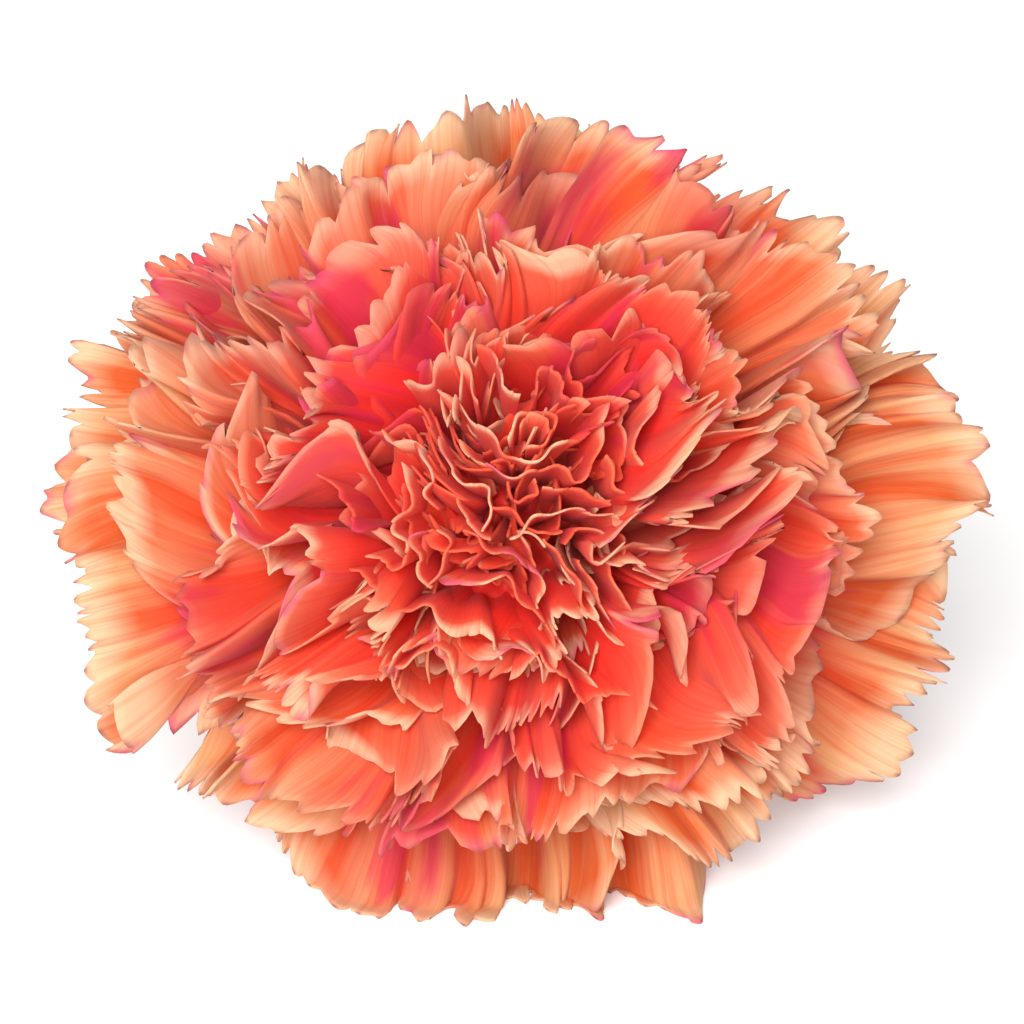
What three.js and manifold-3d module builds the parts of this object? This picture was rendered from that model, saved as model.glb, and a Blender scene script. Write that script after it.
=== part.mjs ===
// A cut carnation: one double bloom in its calyx on a short piece of stem, lying on a table.
// Millimetres, +Z up. Each piece is built in the flower's own frame, where the stem runs along Z,
// its top is at the origin and the bloom opens towards +Z, and then the flower is laid down.

import * as THREE from 'three';
import { mergeVertices } from 'three/addons/utils/BufferGeometryUtils.js';
import Module from 'manifold-3d';

const wasm = await Module();
wasm.setup();

// How the flower lies
const LEAN = 31; // degrees of the flower's axis above the table
const PLACE = new THREE.Vector3(0.48, 17.1, 11.6); // top of the stem, over the table
const BEND_SOFTNESS = 0.3;
const PRESSED = 0.5; // points of a petal lower than this lie on the table

// The bloom
const PETAL_COUNT = 62; // places in the spiral, from the rim to the heart
const INNER_STEP = 2; // within the guard petals, one solid petal stands for two
const THROAT = 27; // height where the petals leave the calyx
// A petal at the rim of the bloom and one in its heart, with all the others in between: length and
// half width of the blade, radius of its root, angles in degrees over the bloom's level at its root
// and tip, the length in which it turns outwards, half the widest angle it takes round the bloom, the
// number of its ruffles and how far they swing.
const RIM = {
  reach: 34, halfWidth: 18.8, rootRadius: 5, rootElevation: 66, tipElevation: -12, turnLength: 6,
  widest: 80, ruffles: 3.4, swing: 0.76,
};
const HEART = {
  reach: 24.5, halfWidth: 12.2, rootRadius: 0.5, rootElevation: 89.5, tipElevation: 84, turnLength: 10,
  widest: 105, ruffles: 2, swing: 1.45,
};
// How far each petal may stray from the rule
const STRAY = { azimuth: 14, guardReach: 0.03, innerReach: 0.12, tipElevation: 7, width: 0.16, ruffles: 0.9 };
const ROOT_HALF_WIDTH = 1.3;
const ROOT_SUNK = 1; // below the throat
const ROOT_RISE = 1.5; // of the roots towards the heart
const PETAL_HALF_THICKNESS = 0.35;
const FINE_RUFFLES = 2.7; // for each ruffle, near the margin
const FINE_SWING = 0.45;
const OVAL = 0.055; // how much wider than tall the bloom is
const TOOTH_DEPTH = 0.045; // of the blade's length
const HAIR = 0.03; // draws folds apart that only touch
const SHINGLE = 6; // degrees by which each petal's one side lies over its neighbour
const GOLDEN_ANGLE = 137.508;
// Azimuth in degrees and relative reach of the guard petals, the lower ring of seven first
const GUARD_PETALS = [
  [-84, 1.17], [-103, 1.1], [166, 1.08], [-17, 1.05], [92, 1.06], [36, 1.05], [137, 1.03],
  [7, 1.1], [-54, 0.97], [-138, 0.97], [-168, 1.06], [156, 1.07], [112, 1.05], [74, 1.11],
];
// Rows of points on a petal: place along it, and points across
const GUARD_ROWS = [[0.27, 2], [0.5, 3], [0.7, 5], [0.87, 9], [1, 17]];
const INNER_ROWS = [[0.3, 2], [0.6, 3], [0.82, 5], [1, 9]];
const CROSS_STEPS = 96;
const PROFILE_STEPS = 120;
const CROWD_WAVES = 9;
const CROWD_COUNTS = [8, 15]; // fewest and most waves over the bloom
const CROWD_STRENGTH = 0.9;
const CROWD_FULL = 24; // distance from the throat at which crowding is full
const CROWD_MOST = 1.25; // and how far past that it grows

// What the bloom stands in
const GAP = 0.3;
const CALYX_HEIGHT = 27.2;
const CALYX_NOTCH = 5; // depth of the notches between its five teeth
const CALYX_TEETH = 5;
const CALYX_WALL = 0.8;
const CALYX_FLOOR = 0.8;
const BULGE_TOP = 3; // below this the calyx curves in to its floor
const CALYX_INSIDE = [
  [3.2, CALYX_FLOOR], [4.6, 2.2], [5.4, 5], [5.9, 10], [6.2, 16], [6.4, 22], [6.6, CALYX_HEIGHT],
];
const BRACT_HEIGHT = 10;
const BRACT_INSIDE = [[3.8, -1.5], [4.45, -0.25], [5.8, 1.3], [6.55, 5], [7.02, BRACT_HEIGHT]];
const BRACT_NOTCH = 6.5;
const BRACT_TEETH = 4;
const BRACT_WALL = 0.7;
const CORE_FOOT = 4.4;
const CORE_RIM = 11.5; // the core spreads to this radius above the throat
const CORE_TOP = 41;
const BORE = 2.9; // hollow of the core round the pistil
const PISTIL_RADIUS = 2.3;
const OVARY_TOP = 13;
const STYLE_TOP = 24;
const STYLE_RADIUS = 0.4;
const STEM_RADIUS = 2.2;
const STEM_LENGTH = 20;
const STEM_BEND = 1.2;
const RECEPTACLE_RADIUS = 3.5;
const NECK_RADIUS = 2.2;
const NECK_TOP = 2.2;
const CUT_SLANT = 35; // degrees of the cut from square

const lerp = THREE.MathUtils.lerp;
const rad = THREE.MathUtils.degToRad;
const between = (trait, share) => lerp(RIM[trait], HEART[trait], share);

// A repeatable draw from 0 to 1: which petal, and which of its traits
function draw(petal, trait) {
  const value = Math.sin(petal * 12.9898 + trait * 78.233 + 4.1) * 43758.5453;
  return value - Math.floor(value);
}

function solidOf(geometry) {
  const bare = geometry.clone();
  bare.deleteAttribute('normal');
  bare.deleteAttribute('uv');
  const merged = mergeVertices(bare, 1e-4);
  const vertProperties = Float32Array.from(merged.attributes.position.array);
  const triVerts = Uint32Array.from(merged.index.array);
  return new wasm.Manifold(new wasm.Mesh({ numProp: 3, vertProperties, triVerts }));
}

function geometryOf(solid) {
  const mesh = solid.getMesh();
  const geometry = new THREE.BufferGeometry();
  geometry.setAttribute('position', new THREE.BufferAttribute(mesh.vertProperties, 3));
  geometry.setIndex(new THREE.BufferAttribute(mesh.triVerts, 1));
  return geometry;
}

// Keeps the largest closed surface: hollows that joining has sealed fill up, and loose scraps go
function largestShell(geometry) {
  const index = Array.from(geometry.index.array);
  const position = geometry.attributes.position;
  const parent = Array.from({ length: position.count }, (_, i) => i);
  const rootOf = (i) => {
    while (parent[i] !== i) {
      parent[i] = parent[parent[i]];
      i = parent[i];
    }
    return i;
  };
  for (let i = 0; i < index.length; i += 3) {
    parent[rootOf(index[i])] = rootOf(index[i + 1]);
    parent[rootOf(index[i + 1])] = rootOf(index[i + 2]);
  }
  const volumes = new Map();
  const corner = (i) => new THREE.Vector3().fromBufferAttribute(position, index[i]);
  for (let i = 0; i < index.length; i += 3) {
    const volume = corner(i).dot(corner(i + 1).cross(corner(i + 2)));
    volumes.set(rootOf(index[i]), (volumes.get(rootOf(index[i])) || 0) + volume);
  }
  const [largest] = [...volumes.entries()].sort((a, b) => b[1] - a[1])[0];
  const kept = [];
  for (let i = 0; i < index.length; i += 3) {
    if (rootOf(index[i]) === largest) kept.push(index[i], index[i + 1], index[i + 2]);
  }
  geometry.setIndex(kept);
  return geometry;
}

// Draws apart by a hair the points of a skin that lie on one another, where two folds touch
function partTouchingFolds(geometry) {
  geometry.computeVertexNormals();
  const { position, normal } = geometry.attributes;
  const pointAt = (i) => new THREE.Vector3().fromBufferAttribute(position, i);
  const points = Array.from({ length: position.count }, (_, i) => pointAt(i));
  const places = points.map((point) => point.toArray().map((value) => value.toFixed(3)).join());
  const taken = new Map();
  for (const place of places) taken.set(place, (taken.get(place) || 0) + 1);
  points.forEach((point, i) => {
    if (taken.get(places[i]) === 1) return;
    point.addScaledVector(new THREE.Vector3().fromBufferAttribute(normal, i), -HAIR);
    position.setXYZ(i, ...point.toArray());
  });
  geometry.deleteAttribute('normal');
  return geometry;
}

function movePoints(geometry, move) {
  const position = geometry.attributes.position;
  const point = new THREE.Vector3();
  for (let i = 0; i < position.count; i++) {
    point.fromBufferAttribute(position, i);
    move(point);
    position.setXYZ(i, point.x, point.y, point.z);
  }
  return geometry;
}

// A turned body from radius and height pairs that run anticlockwise round the section
function turned(profile, segments) {
  const points = profile.map(([radius, height]) => new THREE.Vector2(radius, height));
  return new THREE.LatheGeometry(points, segments).rotateX(Math.PI / 2);
}

// The table as the flower's frame sees it: its upward direction, and a point's height over it
const TABLE_SPAN = 200;
const TILT = rad(90 - LEAN);
const UP = new THREE.Vector3(0, Math.sin(TILT), Math.cos(TILT));
const overTable = (point) => point.dot(UP) + PLACE.z;

// Petals that would reach below the table bend and lie along it
function bendOnTable(point) {
  const height = overTable(point) - PETAL_HALF_THICKNESS;
  const clear = height > 40 * BEND_SOFTNESS;
  const bent = clear ? height : BEND_SOFTNESS * Math.log1p(Math.exp(height / BEND_SOFTNESS));
  return point.addScaledVector(UP, bent - height);
}

function pressFlat(point) {
  const height = overTable(point);
  return height < PRESSED ? point.addScaledVector(UP, -height) : point;
}

function spaceBelowTable() {
  const space = new THREE.BoxGeometry(TABLE_SPAN, TABLE_SPAN, TABLE_SPAN);
  space.translate(0, 0, -TABLE_SPAN / 2 - PLACE.z);
  return space.rotateX(-TILT);
}

// Petals

// The curve that a petal's blade follows from its root outwards: radius, height and elevation
function petalProfile(age, length, tipElevation) {
  const rootElevation = rad(between('rootElevation', Math.sqrt(age)));
  const turnLength = between('turnLength', age);
  const step = length / (PROFILE_STEPS - 1);
  const elevationAt = (s) => tipElevation + (rootElevation - tipElevation) * Math.exp(-s / turnLength);
  const rootHeight = THROAT - ROOT_SUNK + ROOT_RISE * age;
  const profile = [{ r: between('rootRadius', age), z: rootHeight, e: rootElevation }];
  for (let i = 1; i < PROFILE_STEPS; i++) {
    const last = profile[i - 1];
    const e = elevationAt(i * step);
    const r = last.r + (step * (Math.cos(e) + Math.cos(last.e))) / 2;
    const z = last.z + (step * (Math.sin(e) + Math.sin(last.e))) / 2;
    profile.push({ r, z, e });
  }
  return (s) => {
    const place = THREE.MathUtils.clamp(s / step, 0, PROFILE_STEPS - 1.001);
    const low = profile[Math.floor(place)];
    const high = profile[Math.floor(place) + 1];
    const share = place - Math.floor(place);
    return { r: lerp(low.r, high.r, share), z: lerp(low.z, high.z, share), e: lerp(low.e, high.e, share) };
  };
}

// The ruffle: a line across the petal whose direction swings from side to side
function ruffleLine(petal, age, along) {
  const count = between('ruffles', age) + STRAY.ruffles * draw(petal, 8);
  const [shift, bend, fine] = [9, 10, 11].map((trait) => 2 * Math.PI * draw(petal, trait));
  const swing = between('swing', age) * along ** 1.4;
  const fineSwing = FINE_SWING * along ** 4;
  const angleAt = (across) => {
    const phase = Math.PI * count * across + shift + 0.8 * Math.sin(1.9 * across + bend);
    return swing * Math.sin(phase) + fineSwing * Math.sin(FINE_RUFFLES * phase + fine);
  };
  const step = 2 / CROSS_STEPS;
  const line = [new THREE.Vector2(0, 0)];
  for (let i = 1; i <= CROSS_STEPS; i++) {
    const [before, after] = [angleAt(-1 + (i - 1) * step), angleAt(-1 + i * step)];
    const aside = line[i - 1].x + (step * (Math.cos(before) + Math.cos(after))) / 2;
    const out = line[i - 1].y + (step * (Math.sin(before) + Math.sin(after))) / 2;
    line.push(new THREE.Vector2(aside, out));
  }
  const middle = line.reduce((sum, point) => sum.add(point), new THREE.Vector2()).divideScalar(line.length);
  return (across) => line[Math.round(((across + 1) / 2) * CROSS_STEPS)].clone().sub(middle);
}

// The rounded outer margin with its teeth, as a share of the blade's length
function marginAt(petal, across, along, isNotch) {
  const corner = 0.21 + 0.12 * draw(petal, 5);
  const phase = 2 * Math.PI * draw(petal, 6);
  const lobes = 0.03 * Math.sin(3.1 * across + phase) + 0.026 * Math.sin(8.3 * across + phase * 1.7);
  const round = 1 - corner * Math.abs(across) ** 3.2;
  const notch = isNotch ? TOOTH_DEPTH * (0.6 + 0.8 * draw(petal + across, 12)) : 0;
  return along * (round + lobes * along) - notch;
}

// The waves that press neighbouring petals into one another's folds
const crowdWaves = Array.from({ length: CROWD_WAVES }, (_, wave) => {
  const height = 2 * draw(wave, 31) - 1;
  const turn = 2 * Math.PI * draw(wave, 32);
  const flat = Math.sqrt(1 - height * height);
  const along = new THREE.Vector3(flat * Math.cos(turn), flat * Math.sin(turn), height);
  const aside = new THREE.Vector3(draw(wave, 33) - 0.5, draw(wave, 34) - 0.5, draw(wave, 35) - 0.5);
  const count = lerp(...CROWD_COUNTS, draw(wave, 36));
  const push = along.clone().cross(aside).normalize().multiplyScalar(CROWD_STRENGTH / count);
  return { along: along.multiplyScalar(count), push, phase: 2 * Math.PI * draw(wave, 37) };
});

function crowd(point) {
  const throat = new THREE.Vector3(0, 0, THROAT);
  const direction = point.clone().sub(throat);
  const distance = direction.length();
  direction.divideScalar(distance);
  const facing = 0.5 + 0.5 * THREE.MathUtils.clamp(direction.z / 0.6, 0, 1);
  const strength = Math.min(distance / CROWD_FULL, CROWD_MOST) ** 1.2 * facing;
  for (const { along, push, phase } of crowdWaves) {
    direction.addScaledVector(push, strength * Math.sin(direction.dot(along) + phase));
  }
  return point.copy(direction.normalize().multiplyScalar(distance).add(throat));
}

// The middle surface of one petal, as rows of points from its root to its margin
function petalRows(petal) {
  const age = petal / (PETAL_COUNT - 1); // 0 at the rim of the bloom, 1 in its heart
  const guard = GUARD_PETALS[petal];
  const stray = (trait, most) => most * (draw(petal, trait) - 0.5);
  const azimuth = rad(guard ? guard[0] : GOLDEN_ANGLE * petal + stray(1, STRAY.azimuth));
  const reach = guard ? guard[1] * (1 + stray(3, STRAY.guardReach)) : 1 + stray(3, STRAY.innerReach);
  const length = between('reach', age ** 1.1) * reach * (1 + OVAL * Math.cos(2 * azimuth));
  const tipElevation = rad(between('tipElevation', age ** 1.15) + stray(2, STRAY.tipElevation));
  const profileAt = petalProfile(age, length, tipElevation);
  const tipHalfWidth = between('halfWidth', age) * (1 + stray(4, STRAY.width));
  const widest = rad(between('widest', age));
  return (guard ? GUARD_ROWS : INNER_ROWS).map(([along, count]) => {
    const ruffleAt = ruffleLine(petal, age, along);
    const halfWidth = ROOT_HALF_WIDTH + (tipHalfWidth - ROOT_HALF_WIDTH) * along ** 1.05;
    return Array.from({ length: count }, (_, i) => {
      const across = (2 * i) / (count - 1) - 1;
      const { r, z, e } = profileAt(length * marginAt(petal, across, along, along === 1 && i % 2 === 1));
      const ruffle = ruffleAt(across).multiplyScalar(halfWidth);
      const turn = ruffle.x / Math.max(r, ROOT_HALF_WIDTH, Math.abs(ruffle.x) / widest);
      const radius = r - ruffle.y * Math.sin(e);
      const height = z + (ruffle.y + ruffle.x * Math.sin(rad(SHINGLE))) * Math.cos(e);
      const angle = azimuth + turn;
      const point = new THREE.Vector3(radius * Math.cos(angle), radius * Math.sin(angle), height);
      return bendOnTable(crowd(point));
    });
  });
}

// Triangles between two rows where the outer has twice as many steps as the inner
function rowTriangles(inner, outer, steps) {
  const triangles = [];
  for (let i = 0; i < steps; i++) {
    triangles.push([inner + i, outer + 2 * i, outer + 2 * i + 1]);
    triangles.push([inner + i, outer + 2 * i + 1, inner + i + 1]);
    triangles.push([inner + i + 1, outer + 2 * i + 1, outer + 2 * i + 2]);
  }
  return triangles;
}

function petalSolid(petal) {
  const rows = petalRows(petal);
  const middle = rows.flat();
  const starts = [];
  let count = 0;
  for (const row of rows) {
    starts.push(count);
    count += row.length;
  }
  const face = rows.slice(1).flatMap((row, i) => rowTriangles(starts[i], starts[i + 1], rows[i].length - 1));
  const normals = middle.map(() => new THREE.Vector3());
  for (const [a, b, c] of face) {
    const normal = middle[b].clone().sub(middle[a]).cross(middle[c].clone().sub(middle[a]));
    for (const corner of [a, b, c]) normals[corner].add(normal);
  }
  normals.forEach((normal) => normal.setLength(PETAL_HALF_THICKNESS));
  const front = middle.map((point, i) => pressFlat(point.clone().add(normals[i])));
  const rear = middle.map((point, i) => pressFlat(point.clone().sub(normals[i])));
  const last = starts.length - 1;
  const right = rows.map((row, i) => starts[i] + row.length - 1);
  const border = [...rows[last].keys()].map((i) => starts[last] + i);
  const outline = [...starts.slice(0, last), ...border, ...right.slice(0, last).reverse()];
  const edge = outline.flatMap((here, i) => {
    const next = outline[(i + 1) % outline.length];
    return [[here, here + count, next + count], [here, next + count, next]];
  });
  const back = face.map(([a, b, c]) => [a + count, c + count, b + count]);
  const geometry = new THREE.BufferGeometry();
  const numbers = [...front, ...rear].flatMap((point) => point.toArray());
  geometry.setAttribute('position', new THREE.Float32BufferAttribute(numbers, 3));
  geometry.setIndex([...face, ...back, ...edge].flat());
  return solidOf(geometry);
}

// The bundle of petal claws that fills the calyx and spreads over its mouth
function clawBundle() {
  const foot = NECK_TOP + 2 * GAP;
  const insideCalyx = CALYX_INSIDE.filter(([, height]) => height > foot);
  const side = insideCalyx.map(([radius, height]) => [radius - GAP, height]);
  const shoulder = [[CORE_RIM - 1.5, 30], [CORE_RIM, 32.5], [CORE_RIM - 1.5, 36]];
  const head = [...shoulder, [5, CORE_TOP - 1.5], [0, CORE_TOP]];
  const bore = [[0, STYLE_TOP + 2.5], [1.6, STYLE_TOP + 2], [BORE, STYLE_TOP], [BORE, foot]];
  return solidOf(turned([...bore, [CORE_FOOT, foot], ...side, ...head], 24));
}

function petals() {
  let bloom = clawBundle();
  for (let petal = 0; petal < PETAL_COUNT; petal += petal < GUARD_PETALS.length ? 1 : INNER_STEP) {
    bloom = bloom.add(petalSolid(petal));
  }
  return partTouchingFolds(largestShell(geometryOf(bloom)));
}

// Calyx, bracts, pistil and stem

// Lowers the rim of a cup between its teeth
function toothed(geometry, top, notch, teeth, offset) {
  return movePoints(geometry, (point) => {
    const round = Math.atan2(point.y, point.x) / (2 * Math.PI) + 1;
    const wave = Math.abs(((round * teeth + offset + 0.5) % 1) - 0.5) * 2;
    const share = Math.max(0, (point.z - (top - notch - 1)) / (notch + 1));
    point.z -= share * notch * wave ** 0.8;
  });
}

function calyx() {
  const outside = CALYX_INSIDE.map(([radius, height]) => {
    return [radius + CALYX_WALL, height - (height < BULGE_TOP ? CALYX_FLOOR : 0)];
  });
  const hole = NECK_RADIUS + GAP;
  const foot = [[hole, CALYX_FLOOR], [hole, 0]];
  const profile = [...foot, ...outside, ...CALYX_INSIDE.slice().reverse(), foot[0]];
  return toothed(turned(profile, 40), CALYX_HEIGHT, CALYX_NOTCH, CALYX_TEETH, 0);
}

function bracts() {
  const outside = BRACT_INSIDE.map(([radius, height]) => [radius + BRACT_WALL, height]);
  const profile = [...outside, ...BRACT_INSIDE.slice().reverse(), outside[0]];
  return toothed(turned(profile, 32), BRACT_HEIGHT, BRACT_NOTCH, BRACT_TEETH, 0.5);
}

function pistil() {
  const foot = NECK_TOP + GAP;
  const neck = [[1.1, OVARY_TOP], [0, OVARY_TOP + 0.5]];
  let solid = solidOf(turned([[0, foot], [1.5, foot], [PISTIL_RADIUS, 6], [2.1, 10], ...neck], 12));
  for (const side of [-1, 1]) {
    const path = new THREE.CatmullRomCurve3([
      new THREE.Vector3(0, side * 0.5, OVARY_TOP - 1),
      new THREE.Vector3(0, side * 0.9, OVARY_TOP + 4),
      new THREE.Vector3(side * 0.4, side * 1.2, STYLE_TOP - 0.5),
    ]);
    const section = new THREE.Shape().absarc(0, 0, STYLE_RADIUS, 0, 2 * Math.PI);
    const style = new THREE.ExtrudeGeometry(section, { extrudePath: path, steps: 5, curveSegments: 3 });
    solid = solid.add(solidOf(style));
  }
  return geometryOf(solid);
}

function stem() {
  const path = new THREE.CatmullRomCurve3([
    new THREE.Vector3(0, 0, -2.4),
    new THREE.Vector3(0, STEM_BEND * 0.15, -STEM_LENGTH * 0.45),
    new THREE.Vector3(0, STEM_BEND, -STEM_LENGTH - 6),
  ]);
  const section = new THREE.Shape().absarc(0, 0, STEM_RADIUS, 0, 2 * Math.PI);
  const stalk = new THREE.ExtrudeGeometry(section, { extrudePath: path, steps: 8, curveSegments: 10 });
  const receptacle = turned([
    [0, -7], [STEM_RADIUS, -7], [STEM_RADIUS + 0.25, -4.5],
    [RECEPTACLE_RADIUS, -1.6], [RECEPTACLE_RADIUS, -GAP],
    [NECK_RADIUS, -GAP], [NECK_RADIUS, NECK_TOP], [0, NECK_TOP],
  ], 24);
  const offcut = new THREE.BoxGeometry(20, 20, 20).translate(0, 0, -10);
  offcut.rotateX(rad(CUT_SLANT)).translate(0, 0, -STEM_LENGTH);
  const whole = solidOf(stalk).add(solidOf(receptacle));
  return geometryOf(whole.subtract(solidOf(offcut)).subtract(solidOf(spaceBelowTable())));
}

// Assembly

function piece(name, geometry, color, roughness) {
  const mesh = new THREE.Mesh(geometry, new THREE.MeshStandardMaterial({ color, roughness, metalness: 0 }));
  mesh.name = name;
  return mesh;
}

const flower = new THREE.Group();
flower.add(piece('petals', petals(), 0xf2845e, 0.75));
flower.add(piece('calyx', calyx(), 0x8fae72, 0.6));
flower.add(piece('bracts', bracts(), 0x86a86a, 0.6));
flower.add(piece('pistil', pistil(), 0xd9dfae, 0.6));
flower.add(piece('stem', stem(), 0x7d9c68, 0.55));
flower.rotation.x = TILT;
flower.position.copy(PLACE);

const carnation = new THREE.Group();
carnation.add(flower);

export default carnation;
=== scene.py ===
import math

import bpy
import numpy as np
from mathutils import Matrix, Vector


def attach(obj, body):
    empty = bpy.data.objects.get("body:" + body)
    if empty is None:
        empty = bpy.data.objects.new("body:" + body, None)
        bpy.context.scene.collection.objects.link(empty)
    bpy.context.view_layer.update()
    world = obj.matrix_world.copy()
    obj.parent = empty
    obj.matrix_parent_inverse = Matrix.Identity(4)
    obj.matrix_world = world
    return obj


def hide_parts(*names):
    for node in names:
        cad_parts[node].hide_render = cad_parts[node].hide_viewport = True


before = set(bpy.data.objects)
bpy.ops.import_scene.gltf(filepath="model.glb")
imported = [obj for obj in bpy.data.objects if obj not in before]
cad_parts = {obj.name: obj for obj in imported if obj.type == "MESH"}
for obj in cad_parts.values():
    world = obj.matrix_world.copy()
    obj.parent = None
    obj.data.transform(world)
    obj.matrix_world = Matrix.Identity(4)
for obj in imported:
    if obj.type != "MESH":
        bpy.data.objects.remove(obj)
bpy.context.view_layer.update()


# Camera
# The flower lies with its axis 31 degrees above the table, and the camera looks almost straight into
# the bloom from a little below that axis, with a long lens, so that the oval of petals fills the frame.
LEAN = math.radians(31)
STEM_TOP = Vector((0.48, 17.1, 11.6)) / 1000
VIEW_BELOW_AXIS = math.radians(5)
VIEW_CENTRE = (0.3, 0.4, 36.0)
FRAME_WIDTH = 0.0837
LENS = 120
CLIP_START = 0.01


def laid_down(points_mm):
    """Points of the upright flower, in millimetres from the stem's top, as they lie, in metres."""
    x, y, z = np.moveaxis(np.asarray(points_mm, float) / 1000, -1, 0)
    across = y * math.sin(LEAN) - z * math.cos(LEAN)
    up = y * math.cos(LEAN) + z * math.sin(LEAN)
    return np.stack([x, across, up], -1) + np.array(STEM_TOP)


camera = bpy.data.objects.new("camera", bpy.data.cameras.new("camera"))
camera.data.lens = LENS
camera.data.clip_start = CLIP_START
elevation = LEAN - VIEW_BELOW_AXIS
towards_camera = Vector((0, -math.cos(elevation), math.sin(elevation)))
view_centre = Vector(laid_down(VIEW_CENTRE))
distance = FRAME_WIDTH * LENS / camera.data.sensor_width
camera.location = view_centre + towards_camera * distance
camera.rotation_mode = "QUATERNION"
camera.rotation_quaternion = (-towards_camera).to_track_quat("-Z", "Y")
bpy.context.scene.collection.objects.link(camera)
bpy.context.scene.camera = camera
bpy.context.scene.view_settings.view_transform = "Standard"
bpy.context.scene.cycles.use_denoising = True


# Table and light
# A white table top under a large soft lamp from the upper left and front, with white walls all round
# that fill the shadows, as in a photograph of one flower on white.
TABLE_SIZE = 6.0
TABLE_WHITE = (0.93, 0.93, 0.93, 1)
TABLE_ROUGHNESS = 0.9
TABLE_SHINE = 0.1
WALL_WHITE = (1, 1, 1, 1)
WALL_LIGHT = 0.68
LAMP_PLACE = Vector((-0.18, -0.75, 0.54))
LAMP_SIZE = 0.6
LAMP_WATTS = 14.2


def place_mesh(name, points, faces, smooth=True):
    mesh = bpy.data.meshes.new(name)
    mesh.from_pydata(np.asarray(points, float).reshape(-1, 3).tolist(), [], [list(face) for face in faces])
    if smooth:
        mesh.shade_smooth()
    piece = bpy.data.objects.new(name, mesh)
    bpy.context.scene.collection.objects.link(piece)
    return piece


def new_material(name):
    material = bpy.data.materials.new(name)
    material.use_nodes = True
    tree = material.node_tree
    return material, tree, tree.nodes["Principled BSDF"]


def feed(tree, socket, value):
    """Gives a socket a value, or links it where the value is another node's output."""
    if isinstance(value, bpy.types.NodeSocket):
        tree.links.new(value, socket)
    else:
        socket.default_value = value


def add_node(tree, kind, **values):
    """Adds a shader node. A value sets a property, or an input socket where its name starts with in_."""
    node = tree.nodes.new(kind)
    for name, value in values.items():
        if not name.startswith("in_"):
            setattr(node, name, value)
            continue
        key = name[3:]
        feed(tree, node.inputs[int(key) if key.isdigit() else key], value)
    return node


half = TABLE_SIZE / 2
corners = [(-half, -half, 0), (half, -half, 0), (half, half, 0), (-half, half, 0)]
table = place_mesh("table", corners, [(0, 1, 2, 3)], smooth=False)
table_finish, tree, surface = new_material("white_table")
surface.inputs["Base Color"].default_value = TABLE_WHITE
surface.inputs["Roughness"].default_value = TABLE_ROUGHNESS
surface.inputs["Specular IOR Level"].default_value = TABLE_SHINE
table.data.materials.append(table_finish)

world = bpy.data.worlds.new("white_walls")
world.use_nodes = True
walls = world.node_tree.nodes["Background"]
walls.inputs["Color"].default_value = WALL_WHITE
walls.inputs["Strength"].default_value = WALL_LIGHT
bpy.context.scene.world = world

lamp = bpy.data.objects.new("soft_lamp", bpy.data.lights.new("soft_lamp", "AREA"))
lamp.data.energy = LAMP_WATTS
lamp.data.size = LAMP_SIZE
lamp.location = LAMP_PLACE
lamp.rotation_mode = "QUATERNION"
lamp.rotation_quaternion = (view_centre - LAMP_PLACE).to_track_quat("-Z", "Y")
bpy.context.scene.collection.objects.link(lamp)


# Petals
# Some eighty thin petals leave the mouth of the calyx in a spiral, the flat guard petals first and the
# looped ones of the heart last. Each is a fan on a narrow root, ruffled across, pressed into its
# neighbours' folds, toothed along its margin, red inside the bloom and pale peach at the margin.
PETAL_PLACES = 62
THROAT = 27.0
# a petal at the rim of the bloom and one in its heart, with all the others in between: lengths in
# millimetres, angles in degrees, ruffles as waves across a petal, and their swing in radians
RIM = {"reach": 34.0, "half_width": 18.8, "root_radius": 5.0, "root_elevation": 66.0,
       "tip_elevation": -12.0, "turn_length": 6.0, "widest": 80.0, "ruffles": 3.4, "swing": 0.76}
HEART = {"reach": 24.5, "half_width": 12.2, "root_radius": 0.5, "root_elevation": 89.5,
         "tip_elevation": 84.0, "turn_length": 10.0, "widest": 105.0, "ruffles": 2.0, "swing": 1.45}
# how far each petal may stray from the rule
STRAY = {"azimuth": 14.0, "guard_reach": 0.03, "inner_reach": 0.12, "tip_elevation": 7.0,
         "width": 0.16, "ruffles": 0.9}
ROOT_HALF_WIDTH = 1.3
ROOT_SUNK = 1.0
ROOT_RISE = 1.5
# its neighbours would press either of these two petals into a roll, so one is ruffled less and the
# other left out
CALM_PETAL = 22
HIDDEN_PETAL = 30
CALM = 0.45
FINE_RUFFLES = 2.7
FINE_SWING = 0.45
PROFILE_OVERRUN = 1.15
PROFILE_STEPS = 140
MARGIN_FLARE = (0.15, 0.7)
# a pair holds a value for the rim and one for the heart; lobes and teeth are as deep as these shares
# of the petal's length, and pleats, creases and frills as high as these millimetres
LOBES = (9, 6)
LOBE_DEPTH = 0.05
TEETH = (27, 19)
MORE_TEETH = 4
TOOTH_PEAK = 0.4
TOOTH_DEPTH = 0.022
MORE_TOOTH_DEPTH = 0.056
SPLIT_DEPTH = 0.1
SPLIT_WIDTH = 0.028
PLEATS = (5.2, 3.4)
PLEAT_HEIGHT = (0.95, 0.42)
CREASES = (12.5, 8.5)
CREASE_HEIGHT = 0.26
FRILLS = (8.5, 6.5)
FRILL_HEIGHT = (0.65, 0.75)
OVAL = 0.055
SHINGLE = math.radians(6)
GOLDEN_ANGLE = 137.508
PETAL_HALF_THICKNESS = 0.15
MARGIN_HALF_THICKNESS = 0.07
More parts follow.
